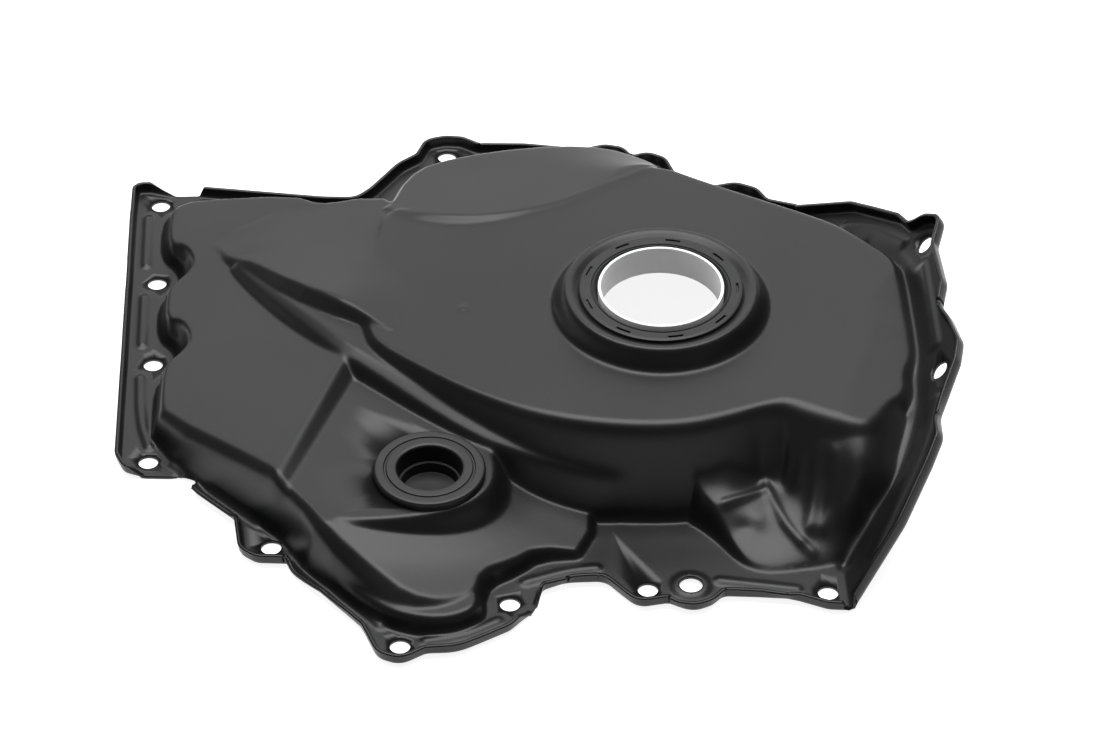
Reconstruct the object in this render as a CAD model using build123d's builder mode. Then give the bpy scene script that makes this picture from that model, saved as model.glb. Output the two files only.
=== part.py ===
from build123d import *
import os

# Timing chain cover: one sheet-steel pressing with its crankshaft seal, transit sleeve and rubber access plug.
#
# Millimetres. The crankshaft axis is Z through the origin, the gasket face of the flange lies on Z = 0,
# X runs to the side that carries the raised wing and Y runs away from the bottom (sump) end.

os.makedirs("parts", exist_ok=True)


# sheet and levels
sheet = 1.5
dome_level = 40.0
boss_level = 48.6
pad_level = 23.0
plug_seat_level = 23.0
skirt_level = 8.8

# flange
bolt_hole_d = 8.0
dished_hole_d = 9.2
lug_r = 10.2
fold_x = 65.5
lip_height = 4.5

# seal
seal_bore_d = 66.0
boss_base_r = 42.5
boss_crest_r = 39.2
sleeve_bore_r = 24.2
sleeve_wall = 1.2
sleeve_length = 13.0
fit_clearance = 0.3

# plug
plug_centre = (-94.9, -80.3)
plug_hole_d = 34.0
plug_flange_d = 44.0
plug_cup_d = 25.6
plug_cup_depth = 12.5

# round holes of the flat flange: x, y
flange_holes = [
    (-207.1, 120.8),
    (-207.1, 68.1),
    (-207.1, 15.5),
    (-207.1, -44.7),
    (-157.5, -97.0),
    (-107.9, -154.2),
    (-65.3, -132.7),
    (-11.8, -126.7),
    (57.6, -131.2),
    (-83.7, 150.3),
    (-13.5, 139.5),
    (3.0, 134.0),
    (39.5, 110.0),
]
dished_hole = (4.9, -126.0)

# the two holes of the wing: plan x, y
wing_holes = [(109.2, 26.3), (107.0, -50.1)]


def wing_u(x):
    """Distance up the wing from the fold for a plan x."""
    return (x - fold_x) * 2**0.5


# stiffening beads of the flange, each from x, y to x, y
bead_width = 3.0
bead_height = 1.0
beads = [
    ((-211.9, 112.7), (-211.7, 80.0)),
    ((-211.7, 59.4), (-211.4, 27.5)),
    ((-211.9, 7.2), (-210.6, -27.0)),
    ((-196.8, -46.9), (-162.4, -83.2)),
    ((-147.8, -99.4), (-115.0, -142.9)),
    ((-59.5, -121.7), (-41.4, -114.7)),
    ((15.6, -122.5), (46.1, -129.3)),
]
wing_beads = [((107.2, 14.4), (107.0, -35.6)), ((82.3, 73.4), (101.8, 37.5))]

# raised collar round the dished hole
collar_r = 8.6
collar_top_r = 6.4
collar_height = 1.6

# places where the turned-up edge is left out: x, y, radius
lip_gaps = [(-200.0, 127.0, 10.0), (-199.0, -56.0, 12.5), (-56.7, -131.0, 4.0)]

wing_plane = Plane(origin=(fold_x, 0, 0), x_dir=(1, 0, 1), z_dir=(-1, 0, 1))

# flange outline: x, y, corner radius
flange_outline = [
    (-216.5, -52.5, 8),
    (-192.8, -52.5, 9),
    (-119.8, -144.8, 8),
    (-113.0, -157.0, 6),
    (-81.0, -158.2, 28),
    (-54.4, -131.5, 8),
    (-52.6, -121.3, 6),
    (-27.5, -121.3, 8),
    (-19.5, -131.5, 5),
    (44.0, -131.5, 6),
    (50.0, -141.0, 5),
    (fold_x, -141.0, 0),
    (fold_x, 102.0, 0),
    (46.0, 112.5, 10),
    (32.0, 116.0, 10),
    (7.0, 136.0, 10),
    (-10.0, 147.0, 8),
    (-72.0, 151.0, 10),
    (-98.0, 139.0, 9),
    (-114.0, 116.5, 7),
    (-138.0, 117.6, 60),
    (-190.0, 125.4, 30),
    (-216.5, 127.6, 6),
]

# wing outline in the wing plane: plan x, y, corner radius
wing_outline = [
    (fold_x, -141.0, 0),
    (68.0, -141.0, 2),
    (103.0, -84.5, 20),
    (114.8, -62.0, 10),
    (114.8, 33.0, 12),
    (103.0, 46.0, 8),
    (90.0, 72.5, 20),
    (fold_x, 102.0, 0),
]

# foot of the raised form on the flange, left part: x, y, corner radius
skirt_outline = [
    (-204.8, -27.0, 9),
    (-122.5, -136.0, 12),
    (-108.0, -149.5, 14),
    (-84.0, -151.5, 16),
    (-73.2, -138.0, 4),
    (-76.0, -124.5, 5),
    (-100.0, -70.0, 5),
    (-104.0, 60.0, 5),
    (-112.0, 99.0, 5),
    (-150.0, 109.0, 20),
    (-188.0, 117.5, 8),
    (-204.8, 113.5, 9),
]

# foot of the upper wall, one ledge in from the skirt: x, y, corner radius
panel_outline = [
    (-204.0, -22.5, 8),
    (-125.0, -128.0, 14),
    (-108.0, -144.5, 14),
    (-84.0, -147.0, 14),
    (-73.6, -136.5, 4),
    (-74.2, -123.8, 5),
    (-60.8, -121.8, 6),
    (-52.0, -108.0, 6),
    (-31.5, -107.6, 4),
    (-31.5, -60.0, 5),
    (-60.0, 60.0, 5),
    (-112.0, 98.0, 5),
    (-150.0, 108.0, 20),
    (-188.0, 116.5, 8),
    (-204.0, 112.5, 9),
]

# shelf below the front wall of the dome: x, y, corner radius
shelf_foot = [
    (-170.0, 56.0, 1),
    (-146.0, 8.0, 60),
    (-122.5, -21.0, 20),
    (-105.5, -33.0, 30),
    (-76.0, -61.0, 8),
    (-61.0, -67.0, 8),
    (-34.0, -84.0, 30),
    (6.0, -86.0, 14),
    (21.0, -117.0, 12),
    (60.0, -117.6, 5),
    (87.0, -92.0, 20),
    (102.0, -48.0, 30),
    (101.0, 20.0, 30),
    (72.0, 78.0, 40),
    (30.0, 100.0, 30),
    (0.0, 124.0, 20),
    (-60.0, 136.0, 40),
    (-92.0, 133.0, 12),
    (-112.0, 90.0, 8),
]
shelf_top = [
    (-169.0, 57.0, 1),
    (-145.0, 10.0, 60),
    (-121.5, -19.5, 20),
    (-104.5, -31.5, 30),
    (-75.5, -59.5, 8),
    (-60.0, -63.0, 8),
    (-32.0, -76.0, 30),
    (8.5, -76.0, 16),
    (34.0, -84.0, 14),
    (58.0, -104.0, 8),
    (84.5, -88.0, 16),
    (96.0, -46.0, 26),
    (95.0, 18.0, 26),
    (68.0, 70.0, 36),
    (27.0, 92.0, 28),
    (-2.0, 112.0, 20),
    (-58.0, 121.0, 36),
    (-86.0, 117.0, 12),
    (-105.0, 86.0, 8),
]

# dome: outline at the height of the shelf and at its own level
dome_foot = [
    (-121.0, -12.0, 4),
    (-104.0, -27.0, 40),
    (-62.0, -60.5, 30),
    (-32.0, -75.0, 40),
    (10.0, -77.0, 30),
    (27.0, -74.5, 8),
    (36.0, -92.0, 8),
    (66.0, -96.0, 8),
    (96.5, -60.0, 12),
    (99.5, -30.0, 20),
    (99.0, 20.0, 30),
    (71.0, 74.0, 40),
    (29.0, 96.0, 30),
    (-1.0, 118.0, 20),
    (-59.0, 128.0, 40),
    (-88.0, 124.0, 12),
    (-117.0, 88.0, 8),
]
dome_top = [
    (-109.0, -5.0, 4),
    (-94.0, -22.0, 40),
    (-58.0, -54.0, 30),
    (-30.0, -68.5, 40),
    (9.0, -71.0, 30),
    (30.0, -64.5, 8),
    (38.0, -78.0, 8),
    (62.0, -85.0, 8),
    (88.0, -58.0, 12),
    (95.0, -30.0, 20),
    (94.5, 18.0, 30),
    (62.0, 58.0, 40),
    (25.0, 79.0, 30),
    (-3.0, 95.0, 20),
    (-57.0, 112.0, 40),
    (-84.0, 108.0, 12),
    (-103.0, 84.0, 8),
]

# pad round the plug: x, y, corner radius
pad_foot = [
    (-152.0, -96.0, 1),
    (-134.9, -108.0, 6),
    (-96.0, -105.4, 20),
    (-64.5, -98.0, 22),
    (-64.0, -55.0, 6),
    (-110.0, -20.0, 4),
    (-119.0, -14.0, 2),
]
pad_top = [
    (-152.0, -94.0, 1),
    (-134.9, -103.8, 6),
    (-99.0, -101.6, 20),
    (-71.5, -95.5, 20),
    (-71.5, -55.0, 6),
    (-110.0, -20.0, 4),
    (-119.0, -14.0, 2),
]

# scallops beside two of the left holes
scallop_centres = [(-207.1, 68.1), (-207.1, 15.5)]
scallop_r = 11.0


def corner_face(points, level):
    """Face of an outline given as x, y, corner radius."""
    with BuildSketch(Plane.XY.offset(level)) as sketch:
        with BuildLine():
            FilletPolyline(
                *[(x, y) for x, y, r in points],
                radius=[r for x, y, r in points],
                close=True,
            )
        make_face()
    return sketch.sketch


def slope(point, rise_x, rise_y):
    """Plane through a point that rises by rise_x along X and rise_y along Y."""
    return Plane(origin=point, x_dir=(1, 0, rise_x), z_dir=(-rise_x, -rise_y, 1))


def through(a, b, c):
    """Plane through three points, facing up."""
    a, b, c = Vector(*a), Vector(*b), Vector(*c)
    normal = (b - a).cross(c - a)
    if normal.Z < 0:
        normal = -normal
    return Plane(origin=a, x_dir=b - a, z_dir=normal)


panel_a = slope((-195, -30, 16.5), 0.19, -0.045)
panel_c = slope((-118, -95, 20.5), -0.19, 0.09)
step_face = through((-137.6, -40.1, 27.3), (-155.1, -78.2, 26.2), (-134.0, -54.0, 23.0))
band_a = through((-200.8, -30.5, 15.6), (-156.3, -79.1, 26.1), (-183.2, -58.6, 15.9))
band_c = through((-147.0, -92.0, 24.0), (-107.0, -134.5, 15.0), (-131.6, -116.9, 14.6))
band_bottom = through((-100.0, -137.5, 12.7), (-80.0, -134.0, 9.3), (-90.0, -141.6, 6.0))
shelf_left = through((-146.0, 10.0, 27.2), (-80.0, -46.0, 26.0), (-116.1, -23.5, 24.8))
shelf_right = through((-80.0, -46.0, 26.0), (-28.0, -73.3, 20.5), (-56.8, -65.0, 21.2))
hill_low = slope((-172, 60, 17.4), 0.2716, -0.253)
hill_high = slope((-124, 3, 37.0), 0.028, -0.05)
hill_front = through((-158.8, 50, 24), (-127.3, 10.8, 37.0), (-134, -2, 28.0))
hill_side = through((-119.0, 0.0, 36.8), (-114.0, 60.0, 34.4), (-115.0, 0.0, 32.0))
dome_left = slope((-112, -15, 33.8), 0.097, 0.0)
dome_flat = Plane.XY.offset(dome_level)
skirt_cap = Plane.XY.offset(skirt_level)
shelf_cap = Plane.XY.offset(29.0)
panel_a_end = Plane(origin=(-96, 0, 0), x_dir=(0, 1, 0), z_dir=(1, 0, 0))
panel_c_end = Plane(origin=(0, -25, 0), x_dir=(1, 0, 0), z_dir=(0, 1, 0))
step_side = Plane(origin=(-119.4, -19.2, 0), x_dir=(0, 0, 1), z_dir=(-71.4, 28.4, 0))
dome_right = through((84.5, 0.0, 40.0), (72.0, -48.0, 40.0), (100.0, -20.0, 38.2))
lens_rear = through((-62.9, 61.6, 39.6), (1.0, 91.9, 39.9), (-57.0, 121.6, 28.0))
lens_left = through((-62.9, 61.6, 39.6), (-105.0, 71.0, 34.8), (-93.0, 113.0, 27.5))


def lowered(plane, depth):
    """The same plane, moved down along its own normal."""
    return plane.offset(-depth)


def prism(foot, foot_level, top, top_level, planes, inset):
    """Solid between two outlines, cut from above by planes, all of it drawn in by the inset."""
    foot_face = corner_face(foot, 0)
    top_face = corner_face(top, 0)
    with BuildPart() as body:
        with BuildSketch(Plane.XY.offset(foot_level)):
            add(foot_face)
            if inset:
                offset(amount=-inset)
        with BuildSketch(Plane.XY.offset(top_level)):
            add(top_face)
            if inset:
                offset(amount=-inset)
        loft(ruled=True)
        for plane in planes:
            split(bisect_by=lowered(plane, inset), keep=Keep.BOTTOM)
    return body.part




def grown(points, middle, amount):
    """An outline with every corner moved towards the middle by the given amount."""
    moved = []
    for x, y, r in points:
        way = Vector(middle[0] - x, middle[1] - y, 0)
        way = way.normalized() * amount
        moved.append((x + way.X, y + way.Y, r))
    return moved


panel_middle = (-120, -20)
panel_top = grown(panel_outline, panel_middle, 3.5)
skirt_top = grown(skirt_outline, panel_middle, 1.4)


def half_space_box(planes, inset):
    """The box over the hill, cut from above by planes."""
    with BuildPart() as body:
        with Locations((-140, 35, 20)):
            Box(64 - 2 * inset, 110 - 2 * inset, 40)
        for plane in planes:
            split(bisect_by=lowered(plane, inset), keep=Keep.BOTTOM)
    return body.part


def seal_boss(inset):
    """Turned-up collar round the seal, down to the dome."""
    with BuildPart() as boss:
        with BuildSketch(Plane.XZ):
            with BuildLine():
                Polyline(
                    (0, dome_level - 4),
                    (boss_base_r + 1.6 - inset, dome_level - 4),
                    (boss_base_r - inset, dome_level - inset),
                    (boss_crest_r - inset, boss_level - inset),
                    (0, boss_level - inset),
                    close=True,
                )
            make_face()
        revolve(axis=Axis.Z)
        if inset:
            with Locations((0, 0, dome_level - 6)):
                Cylinder(
                    seal_bore_d / 2 + sheet,
                    20,
                    align=(Align.CENTER, Align.CENTER, Align.MIN),
                    mode=Mode.SUBTRACT,
                )
    return boss.part


def raised_form(inset):
    """Everything that stands up from the flange, as one solid, drawn in by the inset."""
    pieces = [
        prism(panel_outline, 0, panel_top, 45, [panel_a_end, panel_a, band_a, step_face], inset),
        prism(
            panel_outline,
            0,
            panel_top,
            45,
            [panel_c_end, step_side, panel_c, band_c, band_bottom],
            inset,
        ),
        prism(pad_foot, 0, pad_top, 25, [Plane.XY.offset(pad_level), band_c], inset),
        half_space_box([hill_low, hill_high, hill_front, hill_side], inset),
        prism(shelf_foot, 0, shelf_top, 40, [shelf_cap, shelf_left, shelf_right], inset),
        prism(
            dome_foot,
            20,
            dome_top,
            44,
            [dome_left, dome_flat, dome_right, lens_rear, lens_left],
            inset,
        ),
        seal_boss(inset),
    ]
    skirt = prism(skirt_outline, 0, skirt_top, skirt_level + 3, [skirt_cap], inset)
    with BuildPart() as form:
        add(skirt)
        if not inset:
            rim = form.faces().sort_by(Axis.Z)[-1].outer_wire().edges()
            chamfer(rim, length=1.8, length2=2.2)
        for piece in pieces:
            add(piece)
        with Locations([Location((x, y, 0)) for x, y in scallop_centres]):
            Cylinder(scallop_r + inset, 60, mode=Mode.SUBTRACT)
    return form.part


def flat_face(outline, lugs):
    """Outline with a round lug about each bolt hole."""
    base = corner_face(outline, 0)
    with BuildSketch() as face:
        add(base)
        with Locations(lugs):
            Circle(lug_r)
    return face.sketch


def plate(outline, lugs, fold_at):
    """Flat sheet with a turned-up edge that stops at the fold."""
    face = flat_face(outline, lugs)
    with BuildPart() as flat:
        with BuildSketch():
            add(face)
        extrude(amount=sheet + lip_height)
        with BuildSketch(Plane.XY.offset(sheet)):
            add(face)
            offset(amount=-sheet, mode=Mode.REPLACE)
        extrude(amount=lip_height, mode=Mode.SUBTRACT)
        with Locations((fold_at, -20, sheet)):
            Box(
                2 * sheet + 0.4,
                270,
                lip_height + 1,
                align=(Align.CENTER, Align.CENTER, Align.MIN),
                mode=Mode.SUBTRACT,
            )
    return flat.part


lug_centres = [hole for hole in flange_holes if hole[0] > -200] + [dished_hole]
wing_local = [(wing_u(x), y, r) for x, y, r in wing_outline]
wing_lugs = [(wing_u(x), y) for x, y in wing_holes]

def bead(start, end):
    """Rounded bar on the sheet from start to end."""
    reach = Vector(end[0] - start[0], end[1] - start[1], 0)
    middle = ((start[0] + end[0]) / 2, (start[1] + end[1]) / 2)
    with BuildPart() as bar:
        with BuildSketch(Plane.XY.offset(sheet)):
            with Locations(middle):
                SlotOverall(
                    reach.length + bead_width,
                    bead_width,
                    rotation=Vector(1, 0, 0).get_signed_angle(reach),
                )
        extrude(amount=bead_height, taper=25)
    return bar.part


flange_plate = plate(flange_outline, lug_centres, fold_x)
wing_plate = wing_plane.location * plate(wing_local, wing_lugs, 0)
flange_bars = [bead(start, end) for start, end in beads]
wing_bars = [
    wing_plane.location * bead((wing_u(a[0]), a[1]), (wing_u(b[0]), b[1])) for a, b in wing_beads
]
outer_form = raised_form(0)
inner_form = raised_form(sheet)

with BuildPart() as cover:
    add(flange_plate)
    for x, y, r in lip_gaps:
        with Locations((x, y, sheet)):
            Cylinder(
                r,
                lip_height + 1,
                align=(Align.CENTER, Align.CENTER, Align.MIN),
                mode=Mode.SUBTRACT,
            )
    add(wing_plate)
    for bar in flange_bars + wing_bars:
        add(bar)
    with Locations((dished_hole[0], dished_hole[1], sheet)):
        Cone(
            collar_r,
            collar_top_r,
            collar_height,
            align=(Align.CENTER, Align.CENTER, Align.MIN),
        )
    add(outer_form)
    add(inner_form, mode=Mode.SUBTRACT)
    # nothing of the raised form stays under the wing
    with BuildSketch(Plane.XZ.offset(-170)):
        with BuildLine():
            Polyline((fold_x, 0), (fold_x + 80, 80), (fold_x + 80, -1), (fold_x, -1), close=True)
        make_face()
    extrude(amount=340, mode=Mode.SUBTRACT)
    with Locations((0, 0, dome_level - 10)):
        Cylinder(seal_bore_d / 2, 40, mode=Mode.SUBTRACT)
    with Locations((plug_centre[0], plug_centre[1], pad_level)):
        Cylinder(plug_hole_d / 2, 20, mode=Mode.SUBTRACT)
    with Locations(flange_holes):
        Cylinder(bolt_hole_d / 2, 20, mode=Mode.SUBTRACT)
    with Locations((dished_hole[0], dished_hole[1], 0)):
        Cone(
            collar_r - sheet,
            collar_top_r - sheet,
            collar_height,
            align=(Align.CENTER, Align.CENTER, Align.MIN),
            mode=Mode.SUBTRACT,
        )
        Cylinder(dished_hole_d / 2, 20, mode=Mode.SUBTRACT)
    with Locations(wing_plane):
        with Locations(wing_lugs):
            Cylinder(bolt_hole_d / 2, 20, mode=Mode.SUBTRACT)

cover.part.label = "cover_pressing"
export_step(cover.part, "parts/cover_pressing.step")
print("cover", len(cover.solids()), cover.part.is_valid, cover.part.bounding_box())

# crankshaft seal: steel case, rubber jacket over it, lip ring below it
seal_face = 48.2
seal_bottom = 40.5
case_thickness = 1.0
jacket_wall = 1.2
jacket_top = 1.8
jacket_inner_r = 27.2
lip_inner_r = 25.55
lip_bottom = 38.5
slot_count = 9
slot_r = 30.8
slot_length = 5.7
slot_width = 1.1
slot_depth = 0.8
slot_start = -2.4

jacket_r = seal_bore_d / 2
case_r = jacket_r - jacket_wall
case_top = seal_face - jacket_top
case_inner_r = 27.6


def turned(points, x=0, y=0):
    """Solid of revolution about an upright axis at x, y from radius and height points."""
    with BuildPart() as body:
        with BuildSketch(Plane.XZ):
            with BuildLine():
                Polyline(*points, close=True)
            make_face()
        revolve(axis=Axis.Z)
    return Pos(x, y, 0) * body.part


with BuildPart() as seal_case:
    add(
        turned(
            [
                (case_inner_r, case_top - case_thickness),
                (case_r - case_thickness, case_top - case_thickness),
                (case_r - case_thickness, seal_bottom),
                (case_r, seal_bottom),
                (case_r, case_top),
                (case_inner_r, case_top),
            ]
        )
    )

with BuildPart() as seal_jacket:
    add(
        turned(
            [
                (case_r, seal_bottom),
                (jacket_r - 0.5, seal_bottom),
                (jacket_r, seal_bottom + 0.5),
                (jacket_r, seal_face - 1.0),
                (jacket_r - 1.0, seal_face),
                (jacket_inner_r, seal_face),
                (jacket_inner_r - 0.9, seal_face - 0.9),
                (jacket_inner_r - 0.9, case_top - 0.6),
                (case_inner_r, case_top - case_thickness),
                (case_inner_r, case_top),
                (case_r, case_top),
            ]
        )
    )
    with Locations((0, 0, seal_face)):
        with PolarLocations(slot_r, slot_count, start_angle=slot_start):
            Box(slot_width, slot_length, 2 * slot_depth, mode=Mode.SUBTRACT)

lip_top = case_top - case_thickness
with BuildPart() as seal_lip:
    add(
        turned(
            [
                (lip_inner_r, lip_bottom),
                (lip_inner_r + 0.9, lip_bottom),
                (lip_inner_r + 0.9, lip_top - 1.6),
                (lip_inner_r + 1.6, lip_top - 0.9),
                (case_r - case_thickness, lip_top - 0.9),
                (case_r - case_thickness, lip_top),
                (case_inner_r - 0.1, lip_top),
                (lip_inner_r + 0.7, lip_top),
                (lip_inner_r, lip_top - 0.9),
            ]
        )
    )

# white transit sleeve that keeps the lip open until the cover is fitted
sleeve_top = 49.0
with BuildPart() as assembly_sleeve:
    add(
        turned(
            [
                (sleeve_bore_r, sleeve_top - sleeve_length),
                (sleeve_bore_r + 0.7, sleeve_top - sleeve_length),
                (sleeve_bore_r + sleeve_wall, sleeve_top - sleeve_length + 1.5),
                (sleeve_bore_r + sleeve_wall, sleeve_top),
                (sleeve_bore_r + 0.4, sleeve_top),
                (sleeve_bore_r, sleeve_top - 0.4),
            ]
        )
    )

# blind rubber plug in the pad
plug_top = plug_seat_level + 3.5
plug_neck_r = plug_hole_d / 2 - fit_clearance
plug_bead_top = plug_seat_level - sheet - fit_clearance
plug_cup_floor = plug_top - plug_cup_depth
plug_step = plug_top - 8.0
with BuildPart() as access_plug:
    add(
        turned(
            [
                (0, plug_cup_floor - 2.0),
                (14.2, plug_cup_floor - 2.0),
                (15.3, plug_cup_floor - 0.9),
                (15.3, plug_bead_top - 5.0),
                (18.3, plug_bead_top - 1.2),
                (18.3, plug_bead_top),
                (plug_neck_r, plug_bead_top),
                (plug_neck_r, plug_seat_level),
                (plug_flange_d / 2, plug_seat_level),
                (plug_flange_d / 2, plug_top - 0.7),
                (plug_flange_d / 2 - 0.7, plug_top),
                (18.0, plug_top),
                (17.9, plug_top - 0.5),
                (17.1, plug_top - 0.5),
                (17.0, plug_top),
                (plug_cup_d / 2 + 0.9, plug_top),
                (plug_cup_d / 2, plug_top - 0.9),
                (plug_cup_d / 2 - 0.4, plug_step),
                (plug_cup_d / 2 - 1.4, plug_step),
                (plug_cup_d / 2 - 1.8, plug_cup_floor),
                (0, plug_cup_floor),
            ],
            plug_centre[0],
            plug_centre[1],
        )
    )

for made, name in [
    (seal_case, "seal_case"),
    (seal_jacket, "seal_jacket"),
    (seal_lip, "seal_lip"),
    (assembly_sleeve, "assembly_sleeve"),
    (access_plug, "access_plug"),
]:
    made.part.label = name
    export_step(made.part, "parts/" + name + ".step")
    print(name, len(made.solids()), made.part.is_valid, made.part.bounding_box())
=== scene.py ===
import bmesh
import bpy
import math
import numpy as np
from mathutils import Matrix, Vector


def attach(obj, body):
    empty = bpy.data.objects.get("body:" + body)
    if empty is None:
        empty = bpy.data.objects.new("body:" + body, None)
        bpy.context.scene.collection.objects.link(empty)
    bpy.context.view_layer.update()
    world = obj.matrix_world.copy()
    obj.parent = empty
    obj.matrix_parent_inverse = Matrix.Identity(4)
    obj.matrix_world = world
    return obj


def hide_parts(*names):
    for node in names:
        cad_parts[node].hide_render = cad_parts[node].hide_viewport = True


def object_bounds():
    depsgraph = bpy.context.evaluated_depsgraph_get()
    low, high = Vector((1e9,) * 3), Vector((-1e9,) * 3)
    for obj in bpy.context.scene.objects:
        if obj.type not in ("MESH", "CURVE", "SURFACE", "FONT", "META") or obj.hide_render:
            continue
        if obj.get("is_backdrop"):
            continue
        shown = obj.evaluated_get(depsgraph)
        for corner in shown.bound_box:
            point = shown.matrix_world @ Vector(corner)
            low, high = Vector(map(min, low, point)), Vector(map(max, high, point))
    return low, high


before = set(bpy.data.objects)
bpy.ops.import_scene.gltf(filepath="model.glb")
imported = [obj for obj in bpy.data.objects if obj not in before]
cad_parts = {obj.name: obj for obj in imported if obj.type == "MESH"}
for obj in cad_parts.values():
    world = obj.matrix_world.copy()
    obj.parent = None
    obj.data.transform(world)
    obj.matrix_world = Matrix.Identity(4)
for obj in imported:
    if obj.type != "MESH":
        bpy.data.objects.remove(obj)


def plain(value):
    """Bounds as plain lists."""
    if isinstance(value, dict):
        return {key: plain(item) for key, item in value.items()}
    if isinstance(value, (list, tuple, Vector)):
        return [plain(item) for item in value]
    return value


sizes = {"frame": plain(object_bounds())}

# lengths are in millimetres, with the crankshaft axis as Z and the gasket face at Z = 0
# mm turns them into metres
mm = 0.001
sheet = 1.5
step = 0.8

# the wing rises at 45 degrees from this x: across its fold a length is root_two times that in plan
fold_x = 65.5
root_two = 2**0.5


def rounded(points, steps=7):
    """Closed outline with its corners turned to arcs, from x, y, corner radius."""
    out = []
    count = len(points)
    for i in range(count):
        p = np.array(points[i][:2], float)
        a = np.array(points[i - 1][:2], float) - p
        b = np.array(points[(i + 1) % count][:2], float) - p
        la = np.linalg.norm(a)
        lb = np.linalg.norm(b)
        a = a / la
        b = b / lb
        half = math.acos(max(-1, min(1, float(a @ b)))) / 2
        r = points[i][2]
        if r < 0.1 or half > 1.54:
            out.append(tuple(p))
            continue
        reach = min(r / math.tan(half), 0.49 * la, 0.49 * lb)
        r = reach * math.tan(half)
        middle = p + (a + b) / np.linalg.norm(a + b) * r / math.sin(half)
        start = p + a * reach - middle
        end = p + b * reach - middle
        a0 = math.atan2(start[1], start[0])
        turn = (math.atan2(end[1], end[0]) - a0 + math.pi) % (2 * math.pi) - math.pi
        for k in range(steps + 1):
            t = a0 + turn * k / steps
            out.append((middle[0] + r * math.cos(t), middle[1] + r * math.sin(t)))
    return out


def cut_corners(rows, times=2, closed=True):
    """Corner cutting of a polyline whose rows hold x, y and any further values."""
    rows = np.array(rows, float)
    for _ in range(times):
        nxt = np.roll(rows, -1, axis=0)
        a = 0.75 * rows + 0.25 * nxt
        b = 0.25 * rows + 0.75 * nxt
        if closed:
            rows = np.stack([a, b], axis=1).reshape(-1, rows.shape[1])
        else:
            inner = np.stack([a[:-1], b[:-1]], axis=1).reshape(-1, rows.shape[1])
            rows = np.vstack([rows[:1], inner, rows[-1:]])
    return rows


def nearest(rows, x, y, closed=True):
    """Distance to a polyline, its values at the nearest point and, for a closed one, inside or not."""
    rows = np.array(rows, float)
    count = len(rows)
    best = np.full(x.shape, 1e9)
    values = np.zeros((rows.shape[1] - 2,) + x.shape)
    inside = np.zeros(x.shape, bool)
    for i in range(count if closed else count - 1):
        p = rows[i]
        q = rows[(i + 1) % count]
        dx = q[0] - p[0]
        dy = q[1] - p[1]
        length = dx * dx + dy * dy
        if length < 1e-9:
            continue
        t = np.clip(((x - p[0]) * dx + (y - p[1]) * dy) / length, 0, 1)
        d = np.hypot(x - p[0] - t * dx, y - p[1] - t * dy)
        closer = d < best
        best = np.where(closer, d, best)
        for k in range(len(values)):
            values[k] = np.where(closer, p[2 + k] + t * (q[2 + k] - p[2 + k]), values[k])
        if closed and abs(dy) > 1e-9:
            crosses = ((p[1] > y) != (q[1] > y)) & (x < (y - p[1]) * dx / dy + p[0])
            inside ^= crosses
    signed = np.where(inside, best, -best) if closed else best
    return signed, values


def smooth_step(t):
    """Soft change from 0 to 1 while t goes from 0 to 1."""
    t = np.clip(t, 0, 1)
    return t * t * (3 - 2 * t)


def drop(d, radius, rise):
    """Fall at a distance beyond a rounded edge into a wall of the given slope."""
    d = np.maximum(d, 0)
    angle = np.arctan(rise)
    reach = radius * np.sin(angle)
    near = radius - np.sqrt(np.maximum(radius**2 - np.minimum(d, reach) ** 2, 0))
    return near + rise * np.maximum(d - reach, 0)


def side_of(x, y, line):
    """Distance to the left of a long line given by two points."""
    (x0, y0), (x1, y1) = line
    length = math.hypot(x1 - x0, y1 - y0)
    return ((x1 - x0) * (y - y0) - (y1 - y0) * (x - x0)) / length


def thin_plate(points, x, y, slack=2.0):
    """Smooth surface that passes close to x, y, z points, closer with less slack."""
    p = np.array(points, float)
    n = len(p)

    def kernel(r2):
        return np.where(r2 > 1e-9, 0.5 * r2 * np.log(np.maximum(r2, 1e-9)), 0)

    r2 = (p[:, None, 0] - p[None, :, 0]) ** 2 + (p[:, None, 1] - p[None, :, 1]) ** 2
    system = np.zeros((n + 3, n + 3))
    system[:n, :n] = kernel(r2) + np.eye(n) * slack
    system[:n, n] = 1
    system[:n, n + 1 : n + 3] = p[:, :2]
    system[n:, :n] = system[:n, n:].T
    weights = np.linalg.solve(system, np.r_[p[:, 2], 0, 0, 0])
    z = weights[n] + weights[n + 1] * x + weights[n + 2] * y
    for i in range(n):
        z = z + weights[i] * kernel((x - p[i, 0]) ** 2 + (y - p[i, 1]) ** 2)
    return z


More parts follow.
